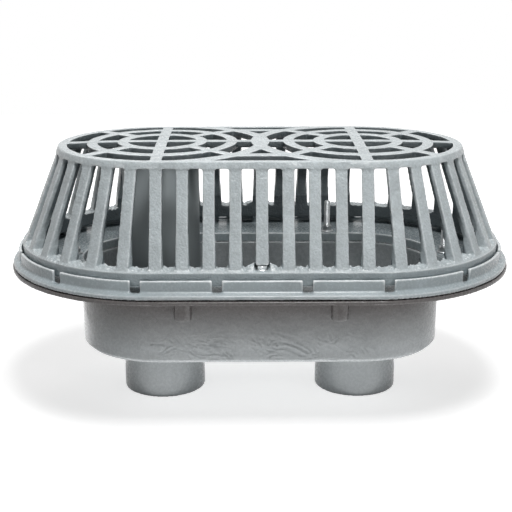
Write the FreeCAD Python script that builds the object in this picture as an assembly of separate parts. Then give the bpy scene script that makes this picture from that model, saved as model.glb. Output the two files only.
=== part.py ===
# Combination roof drain: oblong cast-iron body with a main and an overflow outlet, flashing clamp with
# gravel guard, bolted strainer dome and overflow standpipe.
# Millimetres, +Z up. The drain stands on its two outlet ends, and the origin lies midway between them.
import FreeCAD
import Part
import math
import os

Vector = FreeCAD.Vector
UP = Vector(0, 0, 1)

# Plan: every casting follows one oblong, two half circles about centres on the X axis joined by straights.
HALF_CENTRES = 133.0

# Drain body
OUTLET_R = 55.6
OUTLET_DROP = 69.5
OUTLET_WALL = 8.1
SUMP_R = 110.0
SUMP_WALL = 8.0
SUMP_FLOOR = 9.0
SUMP_HEIGHT = 114.0
SUMP_EDGE = 5.0
FLANGE_R = 200.0
FLANGE_THICK = 4.8
FLANGE_ROOT = 14.0
REBATE_WIDTH = 8.0
REBATE_DEPTH = 8.0

# Flashing clamp with gravel guard
LIP_INSET = 1.5
LIP_THICK = 4.7
LIP_RAISE = 1.5
LIP_SLOPE = 3.6
LIP_LEDGE = 7.5
LAND_INSET = 3.0
GUARD_WALL = 4.0
GUARD_HEIGHT = 23.5
CLAMP_FLOOR = 4.8
CLAMP_SETBACK = 4.0
COLLAR_PLAY = 0.6
COLLAR_LIFT = 0.3
NOTCH_WIDTH = 12.0
NOTCH_SILL = 3.2
NOTCH_STRAIGHT_X = 54.5
NOTCH_END_FIRST = 18.0
NOTCH_END_STEP = 33.0
NOTCH_END_COUNT = 3

# Strainer dome
DOME_LIFT = 10.4
DOME_PLAY = 1.8
BASE_HEIGHT = 16.8
BASE_WIDTH = 22.5
DOME_HEIGHT = 125.0
TOP_BAND = 8.8
TOP_R = 133.2
WALL_SETBACK = 1.5
BAR_SETBACK = 1.2
BAR_PITCH = 32.2
BAR_END_STEP = 13.1
BAR_FACE = 15.4
BAR_DEPTH = 12.0
BAR_DRAFT = 0.1
GUSSET_DRAFT = 0.09
PARTING_INSET = 0.6
FOOT_WIDTH = 16.0
FOOT_DEPTH = 10.0
FOOT_INSET = 1.0

# Top grille, one wheel towards each end
RIM_WIDTH = 8.0
WHEEL_INSET = 3.5
WHEEL_RING_R = 133.5
WHEEL_RING_WIDTH = 17.0
OUTER_RING_R = 92.4
OUTER_RING_WIDTH = 14.3
INNER_RING_R = 52.4
INNER_RING_WIDTH = 14.1
CROSS_BAR_WIDTH = 15.0
LONG_RIB_WIDTH = 12.0
SPOKE_WIDTH = 13.5
SPOKE_ANGLE = 45.0
BRIDGE_Y = 93.5
BRIDGE_WIDTH = 15.0

# Overflow standpipe
PIPE_WALL = 5.0
PIPE_HEADROOM = 17.7
PIPE_SOCKET = 30.0
PIPE_SOCKET_WALL = 4.4
PIPE_FIT = 0.2

# Small round forms are drawn with few flats
SHANK_SIDES = 8
BOSS_SIDES = 10
HEX_SIDES = 6

# Clamp studs, nuts and washers, 5/16 in
STUD_R = 3.97
STUD_END_INSET = 33.0
STUD_OUTSET = 8.0
STUD_RISE = 50.0
STUD_DEPTH = 36.0
STUD_FIT = 0.15
STUD_HOLE_PLAY = 1.2
BOSS_R = 11.3
BOSS_DROP = 50.5
NUT_FLATS = 12.7
NUT_HEIGHT = 6.8
WASHER_R = 8.7
WASHER_THICK = 1.6

# Dome hold-down bolts and washers, 1/4 in
BOLT_R = 3.17
BOLT_INSET = 12.7
BOLT_FLATS = 11.1
BOLT_HEAD = 4.4
BOLT_FIT = 0.15
BOLT_HOLE_PLAY = 0.6
BOLT_WASHER_R = 6.9
BOLT_WASHER_THICK = 1.3
BOLT_PILLAR_R = 9.0
ARCH_FOOT = 40.0
ARCH_CROWN = 26.0
ARCH_RISE = 5.0
ARCH_PLAY = 2.7
ARCH_WEB = 1.5
ARCH_GAP_HEIGHT = 7.0

# Heights that the pieces share
SEAT_Z = OUTLET_DROP + SUMP_HEIGHT
REBATE_Z = SEAT_Z - REBATE_DEPTH
SUMP_FLOOR_Z = OUTLET_DROP + SUMP_FLOOR
CLAMP_FLOOR_Z = SEAT_Z + CLAMP_FLOOR
GUARD_TOP_Z = SEAT_Z + GUARD_HEIGHT
BASE_Z = CLAMP_FLOOR_Z + DOME_LIFT
BASE_TOP_Z = BASE_Z + BASE_HEIGHT
DOME_TOP_Z = BASE_TOP_Z + DOME_HEIGHT
BAND_Z = DOME_TOP_Z - TOP_BAND
PIPE_FOOT_Z = SUMP_FLOOR_Z - PIPE_SOCKET
PIPE_TOP_Z = BAND_Z - PIPE_HEADROOM

# Radii that the pieces share
OUTLET_BORE_R = OUTLET_R - OUTLET_WALL
SOCKET_R = OUTLET_R - PIPE_SOCKET_WALL
PIPE_R = SOCKET_R - PIPE_FIT
SUMP_INNER_R = SUMP_R - SUMP_WALL
REBATE_R = SUMP_INNER_R + REBATE_WIDTH
STUD_LINE_R = SUMP_R + STUD_OUTSET
CLAMP_INNER_R = SUMP_INNER_R + CLAMP_SETBACK
COLLAR_R = REBATE_R - COLLAR_PLAY
LIP_R = FLANGE_R - LIP_INSET
GUARD_R = LIP_R - LIP_LEDGE
LAND_R = GUARD_R - LAND_INSET
GUARD_INNER_R = GUARD_R - GUARD_WALL
BASE_R = GUARD_INNER_R - DOME_PLAY
BASE_INNER_R = BASE_R - BASE_WIDTH
PARTING_R = BASE_INNER_R + PARTING_INSET
WALL_FOOT_R = BASE_R - WALL_SETBACK
WALL_LEAN = (WALL_FOOT_R - TOP_R) / DOME_HEIGHT
BOLT_LINE_R = BASE_R - BOLT_INSET

# Places and widths that the pieces share
STUD_STRAIGHT_X = HALF_CENTRES - STUD_END_INSET
WHEEL_X = HALF_CENTRES - WHEEL_INSET
ARCH_GAP = 2 * (BOLT_WASHER_R + ARCH_PLAY)


def wall_r(z):
    """Outer radius of the leaning dome wall at height z."""
    return WALL_FOOT_R - WALL_LEAN * (z - BASE_TOP_Z)


def bar_r(z):
    """Outer radius of the dome bars at height z, a little inside the wall."""
    return wall_r(z) - BAR_SETBACK


def outline(corners):
    """Closed face in the XZ plane through (x, z) corners."""
    points = [Vector(x, 0, z) for x, z in corners]
    return Part.Face(Part.makePolygon(points + points[:1]))


def fused(shapes):
    """One solid from overlapping or touching shapes, with needless seams removed."""
    return shapes[0].fuse(shapes[1:]).removeSplitter()


def oblong(face):
    """Solid with the section face carried all round the plan, along both straights and both ends."""
    pieces = []
    for side in (-1, 1):
        straight = face.copy()
        straight.rotate(Vector(), UP, 90 * side)
        straight.translate(Vector(-HALF_CENTRES, 0, 0))
        pieces.append(straight.extrude(Vector(2 * HALF_CENTRES, 0, 0)))
        centre = Vector(side * HALF_CENTRES, 0, 0)
        end = face.copy()
        end.rotate(Vector(), UP, -90 * side)
        end.translate(centre)
        pieces.append(end.revolve(centre, UP, 180))
    return fused(pieces)


def cylinder(radius, low, high, x=0, y=0):
    """Upright cylinder from height low to height high."""
    return Part.makeCylinder(radius, high - low, Vector(x, y, low))


def prism(sides, flats, low, high, x, y):
    """Upright prism with the given count of sides and size across flats."""
    corner_r = flats / 2 / math.cos(math.pi / sides)
    corners = []
    for i in range(sides + 1):
        angle = 2 * math.pi * i / sides
        corners.append(Vector(x + corner_r * math.cos(angle), y + corner_r * math.sin(angle), low))
    return Part.Face(Part.makePolygon(corners)).extrude(UP * (high - low))


def shank(radius, low, high, x, y):
    """Small round bar or hole for a fastener, drawn with few flats."""
    return prism(SHANK_SIDES, 2 * radius, low, high, x, y)


def washer(radius, hole_r, low, high, x, y):
    """Flat washer."""
    return shank(radius, low, high, x, y).cut(shank(hole_r, low, high, x, y))


def on_straight(shape, x, side):
    """Copy of a shape made on the +X side of the Z axis, set on the front (-1) or back (1) straight."""
    copy = shape.copy()
    copy.rotate(Vector(), UP, 90 * side)
    copy.translate(Vector(x, 0, 0))
    return copy


def on_end(shape, angle, side):
    """Copy of a shape made on the +X side, turned by angle about the left (-1) or right (1) end centre."""
    copy = shape.copy()
    copy.rotate(Vector(), UP, angle if side > 0 else 180 - angle)
    copy.translate(Vector(side * HALF_CENTRES, 0, 0))
    return copy


def both_straights(shape, places):
    """Copies of a shape at each X place of the front and the back straight."""
    return [on_straight(shape, x, side) for side in (-1, 1) for x in places]


def both_ends(shape, angles):
    """Copies of a shape at each angle from the long axis, about both ends."""
    return [on_end(shape, angle, side) for side in (-1, 1) for angle in angles]


def stud_places():
    """Centres of the clamp studs: two on each straight and one on the long axis at each end."""
    places = [(x, y) for x in (-STUD_STRAIGHT_X, STUD_STRAIGHT_X) for y in (-STUD_LINE_R, STUD_LINE_R)]
    end_x = HALF_CENTRES + STUD_LINE_R
    return places + [(-end_x, 0), (end_x, 0)]


def bolt_places():
    """Centres of the two dome bolts, at the middle of each straight."""
    return [(0, -BOLT_LINE_R), (0, BOLT_LINE_R)]


def drain_body():
    """Sump, flat deck flange, two outlets and stud bosses, one casting."""
    flange_z = SEAT_Z - FLANGE_THICK
    sump = oblong(outline([
        (0, OUTLET_DROP),
        (SUMP_R - SUMP_EDGE, OUTLET_DROP),
        (SUMP_R, OUTLET_DROP + SUMP_EDGE),
        (SUMP_R, flange_z - FLANGE_ROOT),
        (SUMP_R + FLANGE_ROOT, flange_z),
        (FLANGE_R, flange_z),
        (FLANGE_R, SEAT_Z),
        (SUMP_INNER_R, SEAT_Z),
        (SUMP_INNER_R, SUMP_FLOOR_Z),
        (0, SUMP_FLOOR_Z)]))
    bosses = []
    for x, y in stud_places():
        bosses.append(prism(BOSS_SIDES, 2 * BOSS_R, SEAT_Z - BOSS_DROP, flange_z, x, y))
    rebate = oblong(outline([(0, REBATE_Z), (REBATE_R, REBATE_Z), (REBATE_R, SEAT_Z), (0, SEAT_Z)]))
    spigots = []
    cuts = [rebate]
    for x in (-HALF_CENTRES, HALF_CENTRES):
        spigots.append(cylinder(OUTLET_R, 0, SUMP_FLOOR_Z, x))
        cuts.append(cylinder(OUTLET_BORE_R, 0, SUMP_FLOOR_Z, x))
    cuts.append(cylinder(SOCKET_R, PIPE_FOOT_Z, SUMP_FLOOR_Z, -HALF_CENTRES))
    for x, y in stud_places():
        cuts.append(shank(STUD_R + STUD_FIT, SEAT_Z - STUD_DEPTH, SEAT_Z, x, y))
    return fused([sump] + spigots + bosses).cut(cuts)


def flashing_clamp():
    """Clamping ring with flat floor, inner collar, outer lip and notched gravel guard, one casting."""
    lip_z = SEAT_Z + LIP_RAISE
    collar_z = REBATE_Z + COLLAR_LIFT
    ring = oblong(outline([
        (CLAMP_INNER_R, collar_z),
        (COLLAR_R, collar_z),
        (COLLAR_R, SEAT_Z),
        (LAND_R, SEAT_Z),
        (LAND_R, lip_z),
        (LIP_R, lip_z),
        (LIP_R, lip_z + LIP_THICK),
        (GUARD_R, lip_z + LIP_THICK + LIP_SLOPE),
        (GUARD_R, GUARD_TOP_Z),
        (GUARD_INNER_R, GUARD_TOP_Z),
        (GUARD_INNER_R, CLAMP_FLOOR_Z),
        (CLAMP_INNER_R, CLAMP_FLOOR_Z)]))
    pillars = [prism(BOSS_SIDES, 2 * BOLT_PILLAR_R, SEAT_Z, BASE_Z, x, y) for x, y in bolt_places()]
    ring = fused([ring] + pillars)
    cutter = Part.makeBox(3 * GUARD_WALL, NOTCH_WIDTH, GUARD_HEIGHT)
    cutter.translate(Vector(GUARD_R - 2 * GUARD_WALL, -NOTCH_WIDTH / 2, CLAMP_FLOOR_Z + NOTCH_SILL))
    angles = [NOTCH_END_FIRST + NOTCH_END_STEP * i for i in range(NOTCH_END_COUNT)]
    angles = [sign * angle for angle in angles for sign in (-1, 1)]
    cuts = both_straights(cutter, (-NOTCH_STRAIGHT_X, NOTCH_STRAIGHT_X)) + both_ends(cutter, angles)
    for x, y in stud_places():
        cuts.append(shank(STUD_R + STUD_HOLE_PLAY, SEAT_Z, CLAMP_FLOOR_Z, x, y))
    for x, y in bolt_places():
        cuts.append(shank(BOLT_R + BOLT_FIT, SEAT_Z, BASE_Z, x, y))
    return ring.cut(cuts)


def polyhedron(left, right):
    """Solid between two matching flat polygons, closed by flat faces."""
    def face(points):
        return Part.Face(Part.makePolygon(points + points[:1]))

    faces = [face(left), face(right)]
    for i in range(len(left)):
        faces.append(face([left[i - 1], left[i], right[i], right[i - 1]]))
    return Part.Solid(Part.Shell(faces))


def dome_bar():
    """One leaning bar on the +X side, parted near the base ring's inner edge where the core met the mould.

    Outside the parting stands a gusset on the base ring that widens inwards, inside it a blade that narrows.
    """
    foot_r = bar_r(BASE_TOP_Z)
    apex_z = BASE_TOP_Z + (foot_r - PARTING_R) / WALL_LEAN
    heel_z = apex_z - BAR_DEPTH / WALL_LEAN
    gusset = [(foot_r, BASE_TOP_Z), (PARTING_R, apex_z), (PARTING_R, BASE_TOP_Z)]
    blade = [
        (PARTING_R, apex_z), (bar_r(BAND_Z), BAND_Z),
        (bar_r(BAND_Z) - BAR_DEPTH, BAND_Z), (PARTING_R, heel_z)]
    pieces = []
    for profile, draft in ((gusset, GUSSET_DRAFT), (blade, -BAR_DRAFT)):
        left = []
        right = []
        for r, z in profile:
            half = BAR_FACE / 2 + draft * (bar_r(z) - r)
            left.append(Vector(r, -half, z))
            right.append(Vector(r, half, z))
        pieces.append(polyhedron(left, right))
    return fused(pieces)


def bolt_arch():
    """Low mound on the base ring at the +X side, round a dome bolt and under the middle bar."""
    top_z = BASE_TOP_Z + ARCH_RISE
    corners = [
        (-ARCH_FOOT / 2, BASE_TOP_Z), (ARCH_FOOT / 2, BASE_TOP_Z),
        (ARCH_CROWN / 2, top_z), (-ARCH_CROWN / 2, top_z)]
    inner = [Vector(PARTING_R, y, z) for y, z in corners]
    outer = [Vector(bar_r(top_z), y, z) for y, z in corners]
    return polyhedron(inner, outer)


def grille():
    """Top pattern: two wheels side by side, tied to each other and to the straights by bridges."""
    def ring(radius, width, x):
        outer = cylinder(radius + width / 2, BAND_Z, DOME_TOP_Z, x)
        return outer.cut(cylinder(radius - width / 2, BAND_Z, DOME_TOP_Z, x))

    def strip(length, width, x, y, angle=0):
        bar = Part.makeBox(length, width, TOP_BAND, Vector(-length / 2, -width / 2, 0))
        bar.rotate(Vector(), UP, angle)
        bar.translate(Vector(x, y, BAND_Z))
        return bar

    solids = [strip(2 * (HALF_CENTRES + TOP_R), LONG_RIB_WIDTH, 0, 0)]
    spoke = WHEEL_RING_R - INNER_RING_R
    spoke_r = (WHEEL_RING_R + INNER_RING_R) / 2
    bridge = 2 * (WHEEL_X - math.sqrt(WHEEL_RING_R ** 2 - BRIDGE_Y ** 2))
    for side in (-1, 1):
        x = side * WHEEL_X
        solids.append(ring(WHEEL_RING_R, WHEEL_RING_WIDTH, x))
        solids.append(ring(OUTER_RING_R, OUTER_RING_WIDTH, x))
        solids.append(ring(INNER_RING_R, INNER_RING_WIDTH, x))
        solids.append(strip(CROSS_BAR_WIDTH, 2 * TOP_R, x, 0))
        solids.append(strip(bridge, BRIDGE_WIDTH, 0, side * BRIDGE_Y))
        for quarter in range(4):
            angle = SPOKE_ANGLE + 90 * quarter
            turn = math.radians(angle)
            spoke_x = x + spoke_r * math.cos(turn)
            solids.append(strip(spoke, SPOKE_WIDTH, spoke_x, spoke_r * math.sin(turn), angle))
    plate = oblong(outline([(0, BAND_Z), (wall_r(BAND_Z), BAND_Z), (TOP_R, DOME_TOP_Z), (0, DOME_TOP_Z)]))
    return fused(solids).common(plate)


def strainer_dome():
    """Base ring, leaning bars, top band and grille, one casting."""
    base = oblong(outline([
        (BASE_INNER_R, BASE_Z),
        (BASE_R, BASE_Z),
        (BASE_R, BASE_TOP_Z),
        (BASE_INNER_R, BASE_TOP_Z)]))
    band = oblong(outline([
        (TOP_R - RIM_WIDTH, BAND_Z),
        (wall_r(BAND_Z), BAND_Z),
        (TOP_R, DOME_TOP_Z),
        (TOP_R - RIM_WIDTH, DOME_TOP_Z)]))
    bar = dome_bar()
    reach = int(HALF_CENTRES // BAR_PITCH)
    bars = both_straights(bar, [BAR_PITCH * i for i in range(-reach, reach + 1)])
    swing = int(90 // BAR_END_STEP)
    bars += both_ends(bar, [BAR_END_STEP * i for i in range(-swing, swing + 1)])
    arches = both_straights(bolt_arch(), [0])
    foot = Part.makeBox(FOOT_DEPTH, FOOT_WIDTH, DOME_LIFT + BASE_HEIGHT / 2)
    foot.translate(Vector(BASE_R - FOOT_INSET - FOOT_DEPTH, -FOOT_WIDTH / 2, CLAMP_FLOOR_Z))
    foot_angle = NOTCH_END_FIRST + NOTCH_END_STEP / 2
    feet = both_ends(foot, (-foot_angle, foot_angle))
    dome = fused([base, band, grille()] + bars + arches + feet)
    pocket_r = PARTING_R + ARCH_WEB
    pocket = Part.makeBox(BASE_R - pocket_r, ARCH_GAP, ARCH_GAP_HEIGHT)
    pocket.translate(Vector(pocket_r, -ARCH_GAP / 2, BASE_TOP_Z))
    cuts = both_straights(pocket, [0])
    cuts += [shank(BOLT_R + BOLT_HOLE_PLAY, BASE_Z, BASE_TOP_Z, x, y) for x, y in bolt_places()]
    return dome.cut(cuts).removeSplitter()


def overflow_standpipe():
    """Plain pipe standing in the overflow outlet's socket."""
    outer = cylinder(PIPE_R, PIPE_FOOT_Z, PIPE_TOP_Z, -HALF_CENTRES)
    return outer.cut(cylinder(PIPE_R - PIPE_WALL, PIPE_FOOT_Z, PIPE_TOP_Z, -HALF_CENTRES))


def clamp_studs():
    """Studs screwed into the body's bosses."""
    low = SEAT_Z - STUD_DEPTH
    high = SEAT_Z + STUD_RISE
    return Part.makeCompound([shank(STUD_R, low, high, x, y) for x, y in stud_places()])


def clamp_washers():
    """Washers on the clamp's floor, one round each stud."""
    high = CLAMP_FLOOR_Z + WASHER_THICK
    hole_r = STUD_R + STUD_FIT
    return Part.makeCompound([washer(WASHER_R, hole_r, CLAMP_FLOOR_Z, high, x, y) for x, y in stud_places()])


def clamp_nuts():
    """Hexagon nuts on the clamp washers."""
    low = CLAMP_FLOOR_Z + WASHER_THICK
    high = low + NUT_HEIGHT
    nuts = []
    for x, y in stud_places():
        blank = prism(HEX_SIDES, NUT_FLATS, low, high, x, y)
        nuts.append(blank.cut(shank(STUD_R + STUD_FIT, low, high, x, y)))
    return Part.makeCompound(nuts)


def dome_washers():
    """Washers under the dome bolts' heads."""
    high = BASE_TOP_Z + BOLT_WASHER_THICK
    hole_r = BOLT_R + BOLT_FIT
    places = bolt_places()
    return Part.makeCompound([washer(BOLT_WASHER_R, hole_r, BASE_TOP_Z, high, x, y) for x, y in places])


def dome_bolts():
    """Hexagon bolts that hold the dome's base ring down on the clamp's pillars."""
    head_z = BASE_TOP_Z + BOLT_WASHER_THICK
    bolts = []
    for x, y in bolt_places():
        head = prism(HEX_SIDES, BOLT_FLATS, head_z, head_z + BOLT_HEAD, x, y)
        bolts.append(fused([shank(BOLT_R, SEAT_Z, head_z + BOLT_HEAD / 2, x, y), head]))
    return Part.makeCompound(bolts)


NODES = (
    drain_body, flashing_clamp, strainer_dome, overflow_standpipe,
    clamp_studs, clamp_washers, clamp_nuts, dome_washers, dome_bolts)

os.makedirs("parts", exist_ok=True)
for node in NODES:
    shape = node()
    shape.exportStep("parts/" + node.__name__ + ".step")
    print(node.__name__, len(shape.Solids), round(shape.Volume / 1000, 1), "cm3", shape.isValid())
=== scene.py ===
"""Looks of a combination roof drain: painted sand castings, a coated standpipe and zinc-plated hardware."""
import math

import bmesh
import bpy
import numpy as np
from bpy.props import FloatProperty, FloatVectorProperty, IntProperty, PointerProperty
from mathutils import Matrix, Vector, noise


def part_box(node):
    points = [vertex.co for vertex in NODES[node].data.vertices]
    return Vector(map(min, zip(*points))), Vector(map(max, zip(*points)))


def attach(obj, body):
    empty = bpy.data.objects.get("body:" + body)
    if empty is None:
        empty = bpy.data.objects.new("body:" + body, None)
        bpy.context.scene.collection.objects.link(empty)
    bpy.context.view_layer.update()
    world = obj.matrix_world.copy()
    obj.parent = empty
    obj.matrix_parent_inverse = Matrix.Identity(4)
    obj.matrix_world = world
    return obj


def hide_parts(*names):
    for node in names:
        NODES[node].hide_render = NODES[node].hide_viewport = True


bl_info = {
    "name": "Roof drain",
    "version": (1, 0, 0),
    "blender": (4, 5, 0),
    "location": "View3D > Sidebar > Drain",
    "description": "Castings, standpipe, hardware and studio for a packed roof drain",
    "category": "Object",
}

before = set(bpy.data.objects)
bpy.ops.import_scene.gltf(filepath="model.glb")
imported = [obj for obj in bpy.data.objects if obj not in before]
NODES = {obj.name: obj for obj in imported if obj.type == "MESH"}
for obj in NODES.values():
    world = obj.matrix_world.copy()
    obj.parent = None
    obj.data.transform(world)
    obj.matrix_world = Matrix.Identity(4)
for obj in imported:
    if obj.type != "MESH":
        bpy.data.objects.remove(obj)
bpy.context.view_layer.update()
MM = 0.001

# Camera that matches the photograph: place in metres, turns in radians, focal length in pixels
CAMERA_PLACE = (-0.0223, -1.4349, 0.5932)
CAMERA_PITCH = -0.2781
CAMERA_YAW = -0.0117
CAMERA_FOCAL_PX = 1091.35
FRAME_PX = 512
SENSOR_MM = 36.0

# Studio lights: name, place and target in metres, width and depth in metres, power in watts
LIGHTS = (
    ("top_softbox", (0.12, -0.72, 2.0), (0, 0, 0.2), (0.6, 0.6), 30),
    ("back_softbox", (0.1, 0.3, 1.9), (0, 0, 0.2), (1.3, 0.5), 2),
    ("rear_softbox", (-0.4, 1.4, 1.7), (0, 0, 0.2), (1.0, 1.0), 9.5),
    ("side_lamp", (0.75, -1.55, 1.05), (0, 0, 0.2), (0.25, 0.25), 2.4),
    ("table_light", (0.1, -0.23, 0.001), (0.1, -0.23, 1), (0.7, 0.34), 0.67),
    ("rear_table_light", (-0.1, 0.23, 0.001), (-0.1, 0.23, 1), (0.7, 0.34), 0.67))

# Floor: half its side, and where its glow rises to white, in metres from the middle
FLOOR_HALF = 2.5
SHADOW_REACH = 0.5
WHITE_REACH = 1.2

# Glow of the floor near the object, and the light that the white surround gives
SHADOW_GLOW = 0.68
SURROUND_LIGHT = 0.05

# Dome, as in the part's source: top band, its half width, slope of the wall
BAND = 8.8 * MM
TOP_HALF = 133.2 * MM
WALL_LEAN = 0.404

# Bars, as in the part's source: spacing on the straights and the ends, half width, half of the bolt's arch
BAR_PITCH = 32.2 * MM
BAR_END_STEP = math.radians(13.1)
BAR_HALF = 7.7 * MM
POCKET_HALF = 9.6 * MM

# Sump, as in the part's source: half the distance of its end centres, middle of its wall, its foot's height
HALF_CENTRES = 133 * MM
SUMP_WALL = 106 * MM
SUMP_FOOT_MM = 69.5

# Standpipe's wall, as in the part's source, and the round on its rims
PIPE_WALL = 5 * MM
PIPE_EDGE = 0.8 * MM

# Dome's rounding: depth of the top that the crown lifts, lengths over which it and the bars' rounding fade
CROWN_DEPTH = 12 * MM
CROWN_FADE = 2 * MM
BAR_FADE = 6 * MM

# Rough metal at the bars' feet: half the mound at a bolt and how much higher it climbs, bare width at the
# ring's outer edge, level that the lumps are raised by, share of the finer lumps
MOUND_HALF = 21 * MM
MOUND_REACH = 2.5
RIM_CLEAR_MM = 2.5
ROUGH_LEVEL = 0.3
ROUGH_FINE = 0.6

# Wrinkles on the sump's wall: height over its foot where they are whole, where they end and how long they
# fade, half their run along the wall, and the fade at its ends
WRINKLE_RISE_MM = 6
WRINKLE_TOP_MM = 50
WRINKLE_FADE_MM = 25
WRINKLE_HALF_MM = 175
WRINKLE_END_MM = 60

# Shape of the wrinkles: lean and sway in radians, length to width, sharpness of the folds, and how many
# wrinkles long the sway and the patches are
WRINKLE_LEAN = -0.35
WRINKLE_SWAY = 0.6
WRINKLE_STRETCH = 2.5
WRINKLE_SHARPNESS = 4
SWAY_CELLS = 9
PATCH_CELLS = 4

# Upright share of a normal below which a face counts as wall, and share of a shift too faint to work out
WALL_FACING = 0.6
FAINT = 0.02

# Distance within which vertices are joined, and how far one smoothing pass moves a vertex to its neighbours
WELD = 0.002 * MM
SMOOTH_PULL = 0.5

# Triangle budgets of the castings
CASTING_TRIANGLES = 190000
DOME_TRIANGLES = 195000

# Fasteners: length of a stud's rounded tip and its depth in threads, radius of the dome bolts' shanks
STUD_TIP = 1.2 * MM
STUD_TIP_THREADS = 1.3
BOLT_SHANK_R = 3.1 * MM

# Hexagonal heads: width of the turned corner and of the middle to the flats, corner's height to its width
HEAD_CORNER = 0.12
HEAD_MIDDLE = 0.05
HEAD_CORNER_RISE = 0.6

# Sides of the turned forms, and rows of vertices in one turn of a thread
BAR_SIDES = 24
WASHER_SIDES = 48
HEAD_SIDES = 72
PIPE_SIDES = 128
THREAD_ROWS = 6

# Patterns of the finishes: clouds in the paint, streaks on the pipe, handling marks on the zinc
CLOUD_MM = 45
STREAK_MM = 9
HANDLING_MM = 3

# Where each painted shade starts and is whole (under the flange also a brownish tone): depths and heights in
# metres, and the upward share of a normal
FLANGE_TONE_AND_SHADE_FADE = (95 * MM, 38 * MM)
RING_SHADE_FADE = (0.5 * MM, 2.5 * MM)
INSIDE_FACING = (0.7, 0.3)
INSIDE_DEEP = (8 * MM, 11 * MM)
INSIDE_SIDES = (2.5 * MM, 4.5 * MM)
INSIDE_FOOT = (15 * MM, 50 * MM)


def linear(hex_colour):
    """Linear colour with full alpha from an sRGB hex value."""
    channels = [int(hex_colour[i:i + 2], 16) / 255 for i in (1, 3, 5)]
    return [c / 12.92 if c <= 0.04045 else ((c + 0.055) / 1.055) ** 2.4 for c in channels] + [1.0]


def colour(label, hex_colour, about):
    """Colour property with an sRGB hex default."""
    return FloatVectorProperty(
        name=label, description=about, default=linear(hex_colour), size=4, subtype="COLOR", min=0, max=1)


class CastingSettings(bpy.types.PropertyGroup):
    """Sizes of the cast surface."""
    voxel: FloatProperty(
        name="Grid", description="Grid on which a casting's corners are rounded", default=1.25 * MM,
        unit="LENGTH")
    corner_passes: IntProperty(
        name="Corner passes", description="Smoothing passes that round the cast corners", default=2, min=0)
    bar_passes: IntProperty(
        name="Bar passes", description="Further passes that round the dome's bars", default=6, min=0)
    wave: FloatProperty(
        name="Wave", description="Height of the slow waviness of a sand casting", default=0.25 * MM,
        unit="LENGTH")
    wave_length: FloatProperty(
        name="Wave length", description="Spacing of the slow waviness", default=22 * MM, unit="LENGTH")
    sand: FloatProperty(
        name="Sand", description="Height of the lumps left by the sand", default=0.14 * MM, unit="LENGTH")
    sand_length: FloatProperty(
        name="Sand length", description="Spacing of the lumps left by the sand", default=4.5 * MM,
        unit="LENGTH")
    wrinkle: FloatProperty(
        name="Wrinkle", description="Height of the wrinkles low on the sump's wall", default=1.1 * MM,
        unit="LENGTH")
    wrinkle_length: FloatProperty(
        name="Wrinkle length", description="Spacing of the wrinkles", default=5 * MM, unit="LENGTH")
    flash: FloatProperty(
        name="Flash", description="Height of the rough metal between the bars' feet", default=2.2 * MM,
        unit="LENGTH")
    flash_length: FloatProperty(
        name="Flash length", description="Spacing of the rough metal", default=3.6 * MM, unit="LENGTH")
    heel: FloatProperty(
        name="Heel", description="Height of the metal left in the corner of each bar's foot",
        default=2 * MM, unit="LENGTH")
    flash_reach: FloatProperty(
        name="Flash reach", description="How far the rough metal climbs the bars' feet", default=2.5 * MM,
        unit="LENGTH")
    crown: FloatProperty(
        name="Crown", description="Rise of the dome's top grille at its middle", default=2.8 * MM,
        unit="LENGTH")


class HardwareSettings(bpy.types.PropertyGroup):
    """Sizes of threads and corners on the fasteners."""
    stud_pitch: FloatProperty(
        name="Stud pitch", description="Thread pitch of the clamp studs", default=1.41 * MM, unit="LENGTH")
    thread_depth: FloatProperty(
        name="Thread depth", description="Depth of the thread", default=0.7 * MM, unit="LENGTH")
    corner: FloatProperty(
        name="Corner", description="Corner cut from the edges of the washers", default=0.5 * MM,
        unit="LENGTH")


class FinishSettings(bpy.types.PropertyGroup):
    """Colours of the finishes."""
    dome: colour("Dome", "#c2cbce", "Light blue-grey paint of the strainer dome")
    clamp: colour("Clamp", "#a4afb3", "Blue-grey paint of the flashing clamp")
    body: colour("Body", "#aeb3b5", "Mid-grey paint of the drain body")
    # Darker paint tone for random patches and grain specks; in concave hollows the same colour is painted
    # shade
    patch_tone_and_hollow_shade: colour("Shade", "#858b8d", "Thin, darker paint in hollows")
    # Painted highlight: a near-white colour that lightens convex edges, standing in for gloss catching the
    # light
    edge: colour("Edge", "#f0f4f5", "Paint worn bright along edges")
    # Brownish tone and painted shade: the sump's wall darkens just under the deck flange, where the flange's
    # shade falls
    tone_and_shade: colour("Stain", "#5a5655", "Brownish thin paint just under the deck flange")
    # Painted shade: a darker paint on the base ring, standing in for the shade on its face
    ring: colour("Ring", "#939ea2", "Darker blue-grey paint of the dome's base ring")
    # Painted shade: a dark colour on faces that look into the dome and its grille openings, where shade falls
    inside: colour("Inside", "#5c6467", "Thin paint inside the dome and its grille")
    standpipe: colour("Standpipe", "#8d9496", "Grey coating of the standpipe")
    zinc: colour("Zinc", "#d4d7d8", "Zinc plating of the hardware")
    floor: colour("Floor", "#d0d0d0", "Pale studio floor")


def add(tree, kind, inputs=None, **settings):
    """Adds a node, with its settings and its inputs as values or links."""
    node = tree.nodes.new(kind)
    for key, value in settings.items():
        setattr(node, key, value)
    for key, value in (inputs or {}).items():
        if isinstance(value, bpy.types.NodeSocket):
            tree.links.new(value, node.inputs[key])
        else:
            node.inputs[key].default_value = value
    return node


def new_material(name):
    """Empty node material and its tree."""
    material = bpy.data.materials.new(name)
    material.use_nodes = True
    material.node_tree.nodes.clear()
    return material, material.node_tree


def per_metre(size_mm):
    """Texture scale at which one pattern cell measures size_mm."""
    return 1 / (size_mm * MM)


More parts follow.
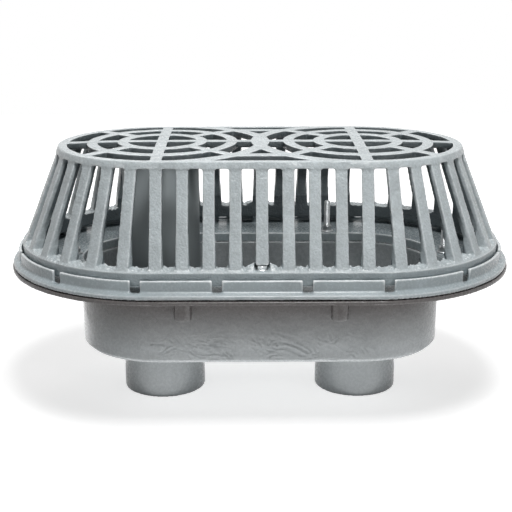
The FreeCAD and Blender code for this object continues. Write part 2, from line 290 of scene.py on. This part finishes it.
def across_oblong(tree, place):
    """Socket with the distance from the line between the drain's end centres, in metres."""
    parts = add(tree, "ShaderNodeSeparateXYZ", {"Vector": place})
    along = add(tree, "ShaderNodeMath", {0: parts.outputs["X"]}, operation="ABSOLUTE")
    past = add(tree, "ShaderNodeMath", {0: along.outputs[0], 1: HALF_CENTRES}, operation="SUBTRACT")
    beyond = add(tree, "ShaderNodeMath", {0: past.outputs[0], 1: 0.0}, operation="MAXIMUM")
    flat = add(tree, "ShaderNodeCombineXYZ", {"X": beyond.outputs[0], "Y": parts.outputs["Y"]})
    return add(tree, "ShaderNodeVectorMath", {0: flat.outputs[0]}, operation="LENGTH").outputs["Value"]


def under_flange(tree, place):
    """Share of the brownish tone and painted shade under the deck flange, on the outside of the sump, fading
    down its wall.
    """
    flange_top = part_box("drain_body")[1].z
    height = add(tree, "ShaderNodeSeparateXYZ", {"Vector": place}).outputs["Z"]
    start, whole = FLANGE_TONE_AND_SHADE_FADE
    rise = add(tree, "ShaderNodeMapRange", {
        "Value": height, "From Min": flange_top - start, "From Max": flange_top - whole})
    outside = add(tree, "ShaderNodeMath", {
        0: across_oblong(tree, place), 1: SUMP_WALL}, operation="GREATER_THAN")
    share = add(tree, "ShaderNodeMath", {
        0: rise.outputs["Result"], 1: outside.outputs[0]}, operation="MULTIPLY")
    return share.outputs[0]


def base_ring_shade(tree, place):
    """Share of the darker paint that stands for painted shade on the base ring, below the seats of the dome's
    bolts.
    """
    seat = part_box("dome_washers")[0].z
    height = add(tree, "ShaderNodeSeparateXYZ", {"Vector": place}).outputs["Z"]
    start, whole = RING_SHADE_FADE
    fade = add(tree, "ShaderNodeMapRange", {
        "Value": height, "From Min": seat - start, "From Max": seat - whole})
    return fade.outputs["Result"]


def inside_dome_shade(tree, place):
    """Share of the painted shade on faces that look into the dome, between its bars and through its grille.

    It starts further in at the bars' feet, whose gussets are painted as the bars' faces are.
    """
    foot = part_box("dome_washers")[0].z
    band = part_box("strainer_dome")[1].z - BAND
    height = add(tree, "ShaderNodeSeparateXYZ", {"Vector": place}).outputs["Z"]
    drop = add(tree, "ShaderNodeMath", {0: band, 1: height}, operation="SUBTRACT")
    below = add(tree, "ShaderNodeMath", {0: drop.outputs[0], 1: 0.0}, operation="MAXIMUM")
    wall = add(tree, "ShaderNodeMath", {
        0: below.outputs[0], 1: WALL_LEAN, 2: TOP_HALF}, operation="MULTIPLY_ADD")
    depth = add(tree, "ShaderNodeMath", {
        0: wall.outputs[0], 1: across_oblong(tree, place)}, operation="SUBTRACT")
    normal = add(tree, "ShaderNodeNewGeometry").outputs["Normal"]
    facing = add(tree, "ShaderNodeSeparateXYZ", {"Vector": normal})
    start, whole = INSIDE_FOOT
    fades = (
        (facing.outputs["Z"], *INSIDE_FACING), (depth.outputs[0], *INSIDE_DEEP),
        (depth.outputs[0], *INSIDE_SIDES), (height, foot + start, foot + whole))
    aside, deep, sides, above = [
        add(tree, "ShaderNodeMapRange", {"Value": value, "From Min": low, "From Max": high}).outputs["Result"]
        for value, low, high in fades]
    near = add(tree, "ShaderNodeMath", {0: sides, 1: above}, operation="MULTIPLY")
    share = add(tree, "ShaderNodeMath", {0: near.outputs[0], 1: deep}, operation="MAXIMUM")
    return add(tree, "ShaderNodeMath", {0: share.outputs[0], 1: aside}, operation="MULTIPLY").outputs[0]


def painted_sand_casting(name, paint, roughness, grain_mm, grain_depth_mm, fleck, edge_highlight, tone_and_shade_layers=()):
    """Dipped paint on sand-cast iron: satin, uneven in colour, with painted highlights on edges, painted
    shade in hollows, and the sand's grain.

    The real grain is under a millimetre, and is drawn coarser so that it shows. Fleck is the most that the
    grain darkens the paint, and the edge highlight the most that a painted highlight brightens the edges.
    Each further layer is a colour and a function that gives its share; the layers given here are painted
    shade, and the one under the flange is also a brownish tone.
    """
    finish = bpy.context.scene.drain_finish
    pit_mm = 4 * grain_mm
    pit_depth_mm = 2 * grain_depth_mm
    material, tree = new_material(name)
    place = add(tree, "ShaderNodeTexCoord").outputs["Object"]
    cloud = add(tree, "ShaderNodeTexNoise", {
        "Vector": place, "Scale": per_metre(CLOUD_MM), "Detail": 4.0, "Roughness": 0.6})
    grain = add(tree, "ShaderNodeTexNoise", {
        "Vector": place, "Scale": per_metre(grain_mm), "Detail": 3.0, "Roughness": 0.65})
    pits = add(tree, "ShaderNodeTexNoise", {
        "Vector": place, "Scale": per_metre(pit_mm), "Detail": 2.0, "Roughness": 0.5})
    bend = add(tree, "ShaderNodeNewGeometry").outputs["Pointiness"]
    patch = add(tree, "ShaderNodeMapRange", {
        "Value": cloud.outputs["Fac"], "From Min": 0.35, "From Max": 0.75, "To Min": 0.0, "To Max": 0.4})
    speck = add(tree, "ShaderNodeMapRange", {
        "Value": grain.outputs["Fac"], "From Min": 0.6, "From Max": 0.4, "To Min": 0.0, "To Max": fleck})
    # Painted shade: concave places, found by their pointiness, are darkened toward the darker tone
    hollow_shade = add(tree, "ShaderNodeMapRange", {
        "Value": bend, "From Min": 0.47, "From Max": 0.41, "To Min": 0.0, "To Max": 0.8})
    # Painted highlight: convex places, found by their pointiness, are lightened toward the near-white edge
    # colour
    edge = add(tree, "ShaderNodeMapRange", {
        "Value": bend, "From Min": 0.515, "From Max": 0.555, "To Min": 0.0, "To Max": edge_highlight})
    layers = [(factor.outputs["Result"], finish.patch_tone_and_hollow_shade) for factor in (patch, speck, hollow_shade)]
    layers.append((edge.outputs["Result"], finish.edge))
    layers.extend((share(tree, place), tone_and_shade) for tone_and_shade, share in tone_and_shade_layers)
    tone = paint
    for share, layer in layers:
        mix = add(tree, "ShaderNodeMix", {"Factor": share, "A": tone, "B": layer}, data_type="RGBA")
        tone = mix.outputs["Result"]
    gloss = add(tree, "ShaderNodeMapRange", {
        "Value": grain.outputs["Fac"], "From Min": 0.3, "From Max": 0.7,
        "To Min": roughness - 0.08, "To Max": roughness + 0.1})
    low = add(tree, "ShaderNodeBump", {
        "Height": pits.outputs["Fac"], "Strength": 0.8, "Distance": pit_depth_mm * MM})
    fine = add(tree, "ShaderNodeBump", {
        "Height": grain.outputs["Fac"], "Strength": 0.8, "Distance": grain_depth_mm * MM,
        "Normal": low.outputs["Normal"]})
    shader = add(tree, "ShaderNodeBsdfPrincipled", {
        "Base Color": tone, "Roughness": gloss.outputs["Result"], "Normal": fine.outputs["Normal"],
        "IOR": 1.5})
    add(tree, "ShaderNodeOutputMaterial", {"Surface": shader.outputs["BSDF"]})
    return material


def brushed_coating(name, coat):
    """Paint brushed on a pipe: grey, satin, with slow streaks down the wall."""
    material, tree = new_material(name)
    place = add(tree, "ShaderNodeTexCoord").outputs["Object"]
    along = add(tree, "ShaderNodeMapping", {"Vector": place, "Scale": (1.0, 1.0, 0.15)})
    streak = add(tree, "ShaderNodeTexNoise", {
        "Vector": along.outputs["Vector"], "Scale": per_metre(STREAK_MM), "Detail": 3.0, "Roughness": 0.6})
    gloss = add(tree, "ShaderNodeMapRange", {
        "Value": streak.outputs["Fac"], "From Min": 0.3, "From Max": 0.7, "To Min": 0.38, "To Max": 0.6})
    relief = add(tree, "ShaderNodeBump", {
        "Height": streak.outputs["Fac"], "Strength": 0.4, "Distance": 0.3 * MM})
    shader = add(tree, "ShaderNodeBsdfPrincipled", {
        "Base Color": coat, "Roughness": gloss.outputs["Result"], "Normal": relief.outputs["Normal"],
        "IOR": 1.5})
    add(tree, "ShaderNodeOutputMaterial", {"Surface": shader.outputs["BSDF"]})
    return material


def zinc_plating(name, metal):
    """Bright zinc plating on steel: a soft metal shine, clouded by handling."""
    material, tree = new_material(name)
    place = add(tree, "ShaderNodeTexCoord").outputs["Object"]
    cloud = add(tree, "ShaderNodeTexNoise", {
        "Vector": place, "Scale": per_metre(HANDLING_MM), "Detail": 3.0, "Roughness": 0.6})
    gloss = add(tree, "ShaderNodeMapRange", {
        "Value": cloud.outputs["Fac"], "From Min": 0.3, "From Max": 0.7, "To Min": 0.25, "To Max": 0.45})
    shader = add(tree, "ShaderNodeBsdfPrincipled", {
        "Base Color": metal, "Metallic": 1.0, "Roughness": gloss.outputs["Result"]})
    add(tree, "ShaderNodeOutputMaterial", {"Surface": shader.outputs["BSDF"]})
    return material


def evaluated(obj):
    """Mesh of an object with its modifiers applied."""
    depsgraph = bpy.context.evaluated_depsgraph_get()
    return bpy.data.meshes.new_from_object(obj.evaluated_get(depsgraph))


def new_object(name, mesh):
    """Object for a mesh, linked into the scene."""
    obj = bpy.data.objects.new(name, mesh)
    bpy.context.scene.collection.objects.link(obj)
    return obj


def welded_copy(node):
    """Copy of a CAD node's mesh with its faces joined into one closed surface."""
    mesh = NODES[node].data.copy()
    work = bmesh.new()
    work.from_mesh(mesh)
    bmesh.ops.remove_doubles(work, verts=work.verts, dist=WELD)
    work.to_mesh(mesh)
    work.free()
    return mesh


def points_of(mesh):
    """Vertex places and normals of a mesh as two arrays."""
    places = np.zeros(len(mesh.vertices) * 3, np.float32)
    normals = np.zeros(len(mesh.vertices) * 3, np.float32)
    mesh.vertices.foreach_get("co", places)
    mesh.vertex_normals.foreach_get("vector", normals)
    return places.reshape(-1, 3), normals.reshape(-1, 3)


def lumps(places, length):
    """Smooth noise from -1 to 1 at each place, with lumps of the given length."""
    return np.array([noise.noise(Vector(place) / length) for place in places.tolist()])


def softened(mesh, passes, share):
    """Smooths a mesh by a share at each vertex, for a number of passes."""
    places = points_of(mesh)[0]
    ends = np.zeros(len(mesh.edges) * 2, np.int32)
    mesh.edges.foreach_get("vertices", ends)
    first, second = ends.reshape(-1, 2).T
    source, target = np.concatenate([first, second]), np.concatenate([second, first])
    count = np.bincount(target, minlength=len(places))
    for _ in range(passes):
        middle = [np.bincount(target, places[source, axis], len(places)) / count for axis in range(3)]
        places = places + SMOOTH_PULL * share[:, None] * (np.array(middle).T - places)
    mesh.vertices.foreach_set("co", places.astype(np.float32).ravel())
    mesh.update()


def cast_surface(node, name, triangles, form=None, soft=None):
    """Copy of a CAD casting with rounded corners and a sand casting's waviness, within a triangle budget.

    Form is a function that shifts places further, and soft one that gives the share of the bars' rounding.
    Each face of the grid counts as two triangles.
    """
    settings = bpy.context.scene.drain_casting
    obj = new_object(name, welded_copy(node))
    grid = obj.modifiers.new("corner_grid", "REMESH")
    grid.mode = "VOXEL"
    grid.voxel_size = settings.voxel
    corners = obj.modifiers.new("corner_round", "SMOOTH")
    corners.factor = SMOOTH_PULL
    corners.iterations = settings.corner_passes
    mesh = evaluated(obj)
    obj.modifiers.clear()
    obj.data = mesh
    if soft:
        softened(mesh, settings.bar_passes, soft(points_of(mesh)[0]))
    places, normals = points_of(mesh)
    height = settings.wave * lumps(places, settings.wave_length)
    height += settings.sand * lumps(places, settings.sand_length)
    shifted = places + normals * height[:, None]
    if form:
        shifted += form(places, normals)
    mesh.vertices.foreach_set("co", shifted.astype(np.float32).ravel())
    fewer = obj.modifiers.new("fewer_faces", "DECIMATE")
    fewer.ratio = min(1.0, triangles / (2 * len(mesh.polygons)))
    obj.data = evaluated(obj)
    obj.modifiers.clear()
    obj.data.shade_smooth()
    return obj


def finish_piece(obj, material, slot, *nodes):
    """Gives a piece its material, and lets it ride in place of its CAD nodes; the slot is not used."""
    obj.data.materials.clear()
    obj.data.materials.append(material)
    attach(obj, "root")
    if nodes:
        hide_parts(*nodes)


def solids_of(node):
    """Box of each separate solid in a node of like fasteners, as (low, high) corners."""
    work = bmesh.new()
    work.from_mesh(welded_copy(node))
    left = set(work.verts)
    boxes = []
    for start in work.verts:
        if start not in left:
            continue
        left.remove(start)
        island = [start]
        for vert in island:
            for edge in vert.link_edges:
                other = edge.other_vert(vert)
                if other in left:
                    left.remove(other)
                    island.append(other)
        corners = np.array([vert.co for vert in island])
        boxes.append((Vector(corners.min(0)), Vector(corners.max(0))))
    work.free()
    return boxes


def joined(name, works):
    """One object from several bmeshes."""
    mesh = bpy.data.meshes.new(name)
    whole = bmesh.new()
    for work in works:
        part = bpy.data.meshes.new("part")
        work.to_mesh(part)
        work.free()
        whole.from_mesh(part)
        bpy.data.meshes.remove(part)
    whole.to_mesh(mesh)
    whole.free()
    return new_object(name, mesh)


def even_turns(sides):
    """Angles of the corners of a ring."""
    return [2 * math.pi * i / sides for i in range(sides)]


def round_row(work, place, height, radii):
    """Ring of vertices about an upright axis, from the radius at each of its even turns."""
    row = []
    for turn, radius in zip(even_turns(len(radii)), radii):
        row.append(work.verts.new((
            place.x + radius * math.cos(turn), place.y + radius * math.sin(turn), height)))
    return row


def skin(work, rings):
    """Faces from each ring to the next."""
    for low, high in zip(rings, rings[1:]):
        for i in range(len(low)):
            work.faces.new((low[i - 1], low[i], high[i], high[i - 1]))


def close_ends(work, low, high):
    """Faces over a lower and an upper ring."""
    work.faces.new(list(reversed(low)))
    work.faces.new(high)


def turned(profile, place, sides, lift=None):
    """Bmesh turned from (radius, height) points about an upright axis, and its rings.

    Lift gives the change of radius at a turn and a height.
    """
    work = bmesh.new()
    rings = []
    for radius, height in profile:
        radii = [radius + (lift(turn, height) if lift else 0) for turn in even_turns(sides)]
        rings.append(round_row(work, place, height, radii))
    skin(work, rings)
    return work, rings


def round_bar(middle, radius, low_z, high_z):
    """Plain upright bar with closed ends."""
    work, rings = turned([(radius, low_z), (radius, high_z)], middle, BAR_SIDES)
    close_ends(work, rings[0], rings[-1])
    return work


def threaded_stud(low, high):
    """Stud with a helical thread and a rounded tip."""
    settings = bpy.context.scene.drain_hardware
    middle = (low + high) / 2
    radius = (high.x - low.x) / 2
    count = int((high.z - low.z) / settings.stud_pitch * THREAD_ROWS)

    def thread(turn, height):
        phase = (height / settings.stud_pitch - turn / (2 * math.pi)) % 1
        fade = min(1.0, (high.z - height) / STUD_TIP)
        return -settings.thread_depth * (abs(2 * phase - 1) * fade + STUD_TIP_THREADS * (1 - fade))

    heights = [low.z + (high.z - low.z) * i / count for i in range(count + 1)]
    work, rings = turned([(radius, z) for z in heights], middle, BAR_SIDES, thread)
    close_ends(work, rings[0], rings[-1])
    return work


def washer_ring(low, high, hole_r):
    """Washer with its outer edges cut back."""
    corner = min(bpy.context.scene.drain_hardware.corner, (high.z - low.z) / 3)
    middle = (low + high) / 2
    outer = (high.x - low.x) / 2
    section = [
        (hole_r, low.z), (outer - corner, low.z), (outer, low.z + corner),
        (outer, high.z - corner), (outer - corner, high.z), (hole_r, high.z), (hole_r, low.z)]
    return turned(section, middle, WASHER_SIDES)[0]


def hexagon_head(low, high, flats, hole_r=0.0):
    """Hexagonal nut or bolt head whose corners are turned down to a cone at the top and bottom."""
    middle = (low + high) / 2
    chamfer = HEAD_CORNER * flats
    rise = HEAD_CORNER_RISE * chamfer

    def reach(turn):
        return flats / 2 / math.cos((turn + math.pi / 6) % (math.pi / 3) - math.pi / 6)

    work = bmesh.new()
    rings = []
    levels = [(low.z, 0.0), (low.z + rise, chamfer), (high.z - rise, chamfer), (high.z, 0.0)]
    for height, allow in levels:
        radii = [min(reach(turn), flats / 2 + allow) for turn in even_turns(HEAD_SIDES)]
        rings.append(round_row(work, middle, height, radii))
    inner = [max(hole_r, HEAD_MIDDLE * flats)] * HEAD_SIDES
    top = round_row(work, middle, high.z, inner)
    bottom = round_row(work, middle, low.z, inner)
    skin(work, rings + [top, bottom, rings[0]])
    if not hole_r:
        close_ends(work, bottom, top)
    return work


class DRAIN_OT_body(bpy.types.Operator):
    """Cast drain body: sump, deck flange, outlets and stud bosses"""
    bl_idname = "drain.body"
    bl_label = "Drain body"

    def execute(self, context):
        finish = context.scene.drain_finish
        casting = cast_surface("drain_body", "body_casting", CASTING_TRIANGLES, self.wrinkles)
        # The body's sump darkens under its flange: a brownish tone and painted shade
        paint = painted_sand_casting(
            "painted_cast_iron_body", finish.body, roughness=0.26, grain_mm=4.0, grain_depth_mm=0.3,
            fleck=0.12, edge_highlight=0.0, tone_and_shade_layers=[(finish.tone_and_shade, under_flange)])
        finish_piece(casting, paint, "body_paint", "drain_body")
        return {"FINISHED"}

    def wrinkles(self, places, normals):
        """Shift that wrinkles the lower middle of the sump's wall, where the mould's face gave.

        The folds lean one way with a slow sway, are drawn out along their length, and come in patches.
        """
        settings = bpy.context.scene.drain_casting
        up = places[:, 2] / MM - SUMP_FOOT_MM
        run = np.abs(places[:, 0]) / MM
        share = np.clip(up / WRINKLE_RISE_MM, 0, 1) * np.clip((WRINKLE_TOP_MM - up) / WRINKLE_FADE_MM, 0, 1)
        share *= np.clip((WRINKLE_HALF_MM - run) / WRINKLE_END_MM, 0, 1)
        share *= np.abs(normals[:, 2]) < WALL_FACING
        chosen = share > FAINT
        near = places[chosen]
        lean = WRINKLE_SWAY * lumps(near, SWAY_CELLS * settings.wrinkle_length) + WRINKLE_LEAN
        along = near[:, 0] * np.cos(lean) + near[:, 2] * np.sin(lean)
        over = near[:, 2] * np.cos(lean) - near[:, 0] * np.sin(lean)
        drawn = np.column_stack([along / WRINKLE_STRETCH, near[:, 1], over])
        folds = (1 - np.abs(lumps(drawn, settings.wrinkle_length))) ** WRINKLE_SHARPNESS
        patches = np.clip(0.5 + 1.5 * lumps(near + 1, PATCH_CELLS * settings.wrinkle_length), 0, 1)
        folds *= patches
        height = np.zeros(len(places))
        height[chosen] = settings.wrinkle * share[chosen] * folds
        return normals * height[:, None]


class DRAIN_OT_clamp(bpy.types.Operator):
    """Cast flashing clamp with its notched gravel guard"""
    bl_idname = "drain.clamp"
    bl_label = "Flashing clamp"

    def execute(self, context):
        finish = context.scene.drain_finish
        casting = cast_surface("flashing_clamp", "clamp_casting", CASTING_TRIANGLES)
        # The clamp's edges carry the painted highlight at its full share
        paint = painted_sand_casting(
            "painted_cast_iron_clamp", finish.clamp, roughness=0.24, grain_mm=3.0, grain_depth_mm=0.12,
            fleck=0.08, edge_highlight=1.0)
        finish_piece(casting, paint, "clamp_paint", "flashing_clamp")
        return {"FINISHED"}


class DRAIN_OT_dome(bpy.types.Operator):
    """Cast strainer dome with its crowned top and rough metal between the bars' feet"""
    bl_idname = "drain.dome"
    bl_label = "Strainer dome"

    def execute(self, context):
        finish = context.scene.drain_finish
        casting = cast_surface(
            "strainer_dome", "dome_casting", DOME_TRIANGLES, self.crown_and_flash, self.bars)
        # The dome's base ring and its inside carry painted shade, and its edges a painted highlight
        paint = painted_sand_casting(
            "painted_cast_iron_dome", finish.dome, roughness=0.2, grain_mm=2.8, grain_depth_mm=0.9,
            fleck=0.22, edge_highlight=0.65, tone_and_shade_layers=[(finish.ring, base_ring_shade), (finish.inside, inside_dome_shade)])
        finish_piece(casting, paint, "dome_paint", "strainer_dome")
        return {"FINISHED"}

    def bars(self, places):
        """Share of the bars' rounding: whole along the bars, none on the base ring and the top grille."""
        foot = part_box("dome_washers")[0].z
        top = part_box("strainer_dome")[1].z - CROWN_DEPTH
        z = places[:, 2]
        return np.clip((z - foot) / BAR_FADE, 0, 1) * np.clip((top - z) / BAR_FADE, 0, 1)

    def crown_and_flash(self, places, normals):
        """Shift that crowns the top grille and leaves rough metal on the ring between the bars' feet."""
        settings = bpy.context.scene.drain_casting
        low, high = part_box("strainer_dome")
        ring_r = (high.y - low.y) / 2
        half_centres = (high.x - low.x) / 2 - ring_r
        x, y, z = np.abs(places[:, 0]), np.abs(places[:, 1]), places[:, 2]
        beyond = np.maximum(x - half_centres, 0)
        across = np.hypot(beyond, y)
        shift = np.zeros_like(places)
        top = np.clip((z - (high.z - CROWN_DEPTH)) / CROWN_FADE, 0, 1)
        shift[:, 2] += settings.crown * top * np.clip(1 - (across / TOP_HALF) ** 2, 0, 1)

        turn = np.arctan2(y, beyond)
        on_straight = np.abs(x - BAR_PITCH * np.round(x / BAR_PITCH))
        on_end = across * np.abs(turn - BAR_END_STEP * np.round(turn / BAR_END_STEP))
        clear = np.where(beyond > 0, on_end, on_straight) - BAR_HALF
        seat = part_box("dome_washers")[0].z
        mound = x < MOUND_HALF
        reach = np.where(mound, MOUND_REACH, 1.0) * settings.flash_reach
        near = np.exp(-((z - seat) / reach) ** 2) * np.clip(2 * normals[:, 2], 0, 1)
        near *= np.where(mound, x > POCKET_HALF, np.clip(clear / MM + 0.5, 0, 1))
        near *= np.clip((ring_r - across) / MM - RIM_CLEAR_MM, 0, 1)
        chosen = near > FAINT
        rough = np.zeros(len(places))
        rough[chosen] = lumps(places[chosen], settings.flash_length)
        rough[chosen] += ROUGH_FINE * lumps(places[chosen] + 1, settings.flash_length / 2)
        heel = np.exp(-np.maximum(clear, 0) / settings.heel)
        shift[:, 2] += near * (settings.flash * np.clip(rough + ROUGH_LEVEL, 0, 1) + settings.heel * heel)
        return shift


class DRAIN_OT_standpipe(bpy.types.Operator):
    """Coated overflow standpipe with rounded rims"""
    bl_idname = "drain.standpipe"
    bl_label = "Overflow standpipe"

    def execute(self, context):
        low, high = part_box("overflow_standpipe")
        middle = (low + high) / 2
        outer = (high.x - low.x) / 2
        inner = outer - PIPE_WALL
        section = [
            (inner, low.z), (outer - PIPE_EDGE, low.z), (outer, low.z + PIPE_EDGE),
            (outer, high.z - PIPE_EDGE), (outer - PIPE_EDGE, high.z),
            (inner + PIPE_EDGE, high.z), (inner, high.z - PIPE_EDGE), (inner, low.z)]
        obj = joined("standpipe_tube", [turned(section, middle, PIPE_SIDES)[0]])
        obj.data.shade_smooth()
        coat = brushed_coating("brushed_pipe_paint", context.scene.drain_finish.standpipe)
        finish_piece(obj, coat, "standpipe_coating", "overflow_standpipe")
        return {"FINISHED"}


class DRAIN_OT_clamp_hardware(bpy.types.Operator):
    """Threaded studs, washers and nuts that hold the clamp"""
    bl_idname = "drain.clamp_hardware"
    bl_label = "Clamp hardware"

    def execute(self, context):
        zinc = zinc_plating("zinc_plated_steel_clamp", context.scene.drain_finish.zinc)
        studs = solids_of("clamp_studs")
        stud_r = (studs[0][1].x - studs[0][0].x) / 2
        pieces = {
            "clamp_studs": [threaded_stud(low, high) for low, high in studs],
            "clamp_washers": [washer_ring(low, high, stud_r) for low, high in solids_of("clamp_washers")],
            "clamp_nuts": [
                hexagon_head(low, high, high.y - low.y, stud_r) for low, high in solids_of("clamp_nuts")]}
        for node, works in pieces.items():
            finish_piece(joined(node + "_visual", works), zinc, "zinc_hardware", node)
        return {"FINISHED"}


class DRAIN_OT_dome_hardware(bpy.types.Operator):
    """Bolts and washers that hold the dome"""
    bl_idname = "drain.dome_hardware"
    bl_label = "Dome hardware"

    def execute(self, context):
        zinc = zinc_plating("zinc_plated_steel_dome", context.scene.drain_finish.zinc)
        washers = solids_of("dome_washers")
        bolts = []
        for low, high in solids_of("dome_bolts"):
            head_z = washers[0][1].z
            bolts.append(hexagon_head(Vector((low.x, low.y, head_z)), high, high.y - low.y))
            bolts.append(round_bar((low + high) / 2, BOLT_SHANK_R, low.z, head_z))
        pieces = {
            "dome_bolts": bolts,
            "dome_washers": [washer_ring(low, high, BOLT_SHANK_R) for low, high in washers]}
        for node, works in pieces.items():
            finish_piece(joined(node + "_visual", works), zinc, "zinc_hardware", node)
        return {"FINISHED"}


def area_light(name, place, target, size, watts):
    """Soft light of a width and a depth at a place, turned to a target and itself unseen."""
    data = bpy.data.lights.new(name, "AREA")
    data.shape = "RECTANGLE"
    data.size, data.size_y = size
    data.energy = watts
    lamp = bpy.data.objects.new(name, data)
    bpy.context.scene.collection.objects.link(lamp)
    lamp.location = place
    lamp.visible_camera = False
    lamp.rotation_euler = (Vector(target) - Vector(place)).to_track_quat("-Z", "Y").to_euler()


def seen_directly(tree):
    """Socket that is 1 for a camera, glossy or transmission ray, and 0 for light that a surface gives."""
    paths = add(tree, "ShaderNodeLightPath")
    seen = add(tree, "ShaderNodeMath", {
        0: paths.outputs["Is Camera Ray"], 1: paths.outputs["Is Glossy Ray"]}, operation="MAXIMUM")
    seen = add(tree, "ShaderNodeMath", {
        0: seen.outputs[0], 1: paths.outputs["Is Transmission Ray"]}, operation="MAXIMUM")
    return seen.outputs[0]


class DRAIN_OT_stage(bpy.types.Operator):
    """Pale floor, soft studio light and the photograph's camera"""
    bl_idname = "drain.stage"
    bl_label = "Studio"

    def execute(self, context):
        scene = context.scene
        scene.view_settings.view_transform = "Standard"
        self.floor(scene)
        self.world(scene)
        for light in LIGHTS:
            area_light(*light)
        self.camera(scene)
        return {"FINISHED"}

    def floor(self, scene):
        """Floor that reads white to the camera and keeps a soft shadow."""
        work = bmesh.new()
        bmesh.ops.create_grid(work, x_segments=1, y_segments=1, size=FLOOR_HALF)
        mesh = bpy.data.meshes.new("studio_floor")
        work.to_mesh(mesh)
        work.free()
        floor = new_object("studio_floor", mesh)
        material, tree = new_material("studio_floor_paper")
        seen = seen_directly(tree)
        place = add(tree, "ShaderNodeTexCoord").outputs["Object"]
        away = add(tree, "ShaderNodeVectorMath", {0: place}, operation="LENGTH")
        white = add(tree, "ShaderNodeMapRange", {
            "Value": away.outputs["Value"], "From Min": SHADOW_REACH, "From Max": WHITE_REACH,
            "To Min": SHADOW_GLOW, "To Max": 1.0})
        paper = add(tree, "ShaderNodeBsdfDiffuse", {"Color": scene.drain_finish.floor})
        glow = add(tree, "ShaderNodeEmission", {"Color": (1, 1, 1, 1), "Strength": white.outputs["Result"]})
        bright = add(tree, "ShaderNodeAddShader", {0: paper.outputs[0], 1: glow.outputs[0]})
        mixed = add(tree, "ShaderNodeMixShader", {0: seen, 1: paper.outputs[0], 2: bright.outputs[0]})
        add(tree, "ShaderNodeOutputMaterial", {"Surface": mixed.outputs[0]})
        mesh.materials.append(material)

    def world(self, scene):
        """White surround for the camera and reflections, dimmer for the light it gives."""
        world = bpy.data.worlds.new("studio_surround")
        scene.world = world
        world.use_nodes = True
        tree = world.node_tree
        tree.nodes.clear()
        dim = add(tree, "ShaderNodeBackground", {"Color": (1, 1, 1, 1), "Strength": SURROUND_LIGHT})
        white = add(tree, "ShaderNodeBackground", {"Color": (1, 1, 1, 1), "Strength": 1.0})
        seen = seen_directly(tree)
        mixed = add(tree, "ShaderNodeMixShader", {0: seen, 1: dim.outputs[0], 2: white.outputs[0]})
        add(tree, "ShaderNodeOutputWorld", {"Surface": mixed.outputs[0]})

    def camera(self, scene):
        """Camera at the photograph's angle."""
        data = bpy.data.cameras.new("photo_camera")
        data.sensor_width = SENSOR_MM
        data.lens = SENSOR_MM * CAMERA_FOCAL_PX / FRAME_PX
        camera = bpy.data.objects.new("photo_camera", data)
        scene.collection.objects.link(camera)
        level = Matrix.Rotation(math.radians(90), 4, "X")
        turn = Matrix.Rotation(CAMERA_YAW, 4, "Z") @ Matrix.Rotation(CAMERA_PITCH, 4, "X")
        camera.matrix_world = Matrix.Translation(CAMERA_PLACE) @ turn @ level
        scene.camera = camera


class DRAIN_PT_panel(bpy.types.Panel):
    """Pieces of the roof drain"""
    bl_idname = "DRAIN_PT_panel"
    bl_label = "Roof drain"
    bl_space_type = "VIEW_3D"
    bl_region_type = "UI"
    bl_category = "Drain"

    def draw(self, context):
        for operator in OPERATORS:
            self.layout.operator(operator.bl_idname)
        for group in SETTINGS:
            settings = getattr(context.scene, group)
            for key in settings.__annotations__:
                self.layout.prop(settings, key)


OPERATORS = (
    DRAIN_OT_body, DRAIN_OT_clamp, DRAIN_OT_dome, DRAIN_OT_standpipe,
    DRAIN_OT_clamp_hardware, DRAIN_OT_dome_hardware, DRAIN_OT_stage)
SETTINGS = {
    "drain_casting": CastingSettings, "drain_hardware": HardwareSettings, "drain_finish": FinishSettings}


def register():
    for group, kind in SETTINGS.items():
        bpy.utils.register_class(kind)
        setattr(bpy.types.Scene, group, PointerProperty(type=kind))
    for kind in OPERATORS + (DRAIN_PT_panel,):
        bpy.utils.register_class(kind)


def unregister():
    for kind in reversed(OPERATORS + (DRAIN_PT_panel,)):
        bpy.utils.unregister_class(kind)
    for group, kind in SETTINGS.items():
        delattr(bpy.types.Scene, group)
        bpy.utils.unregister_class(kind)


def main():
    register()
    bpy.ops.drain.body()
    bpy.ops.drain.clamp()
    bpy.ops.drain.dome()
    bpy.ops.drain.standpipe()
    bpy.ops.drain.clamp_hardware()
    bpy.ops.drain.dome_hardware()
    bpy.ops.drain.stage()


if __name__ == "__main__":
    main()
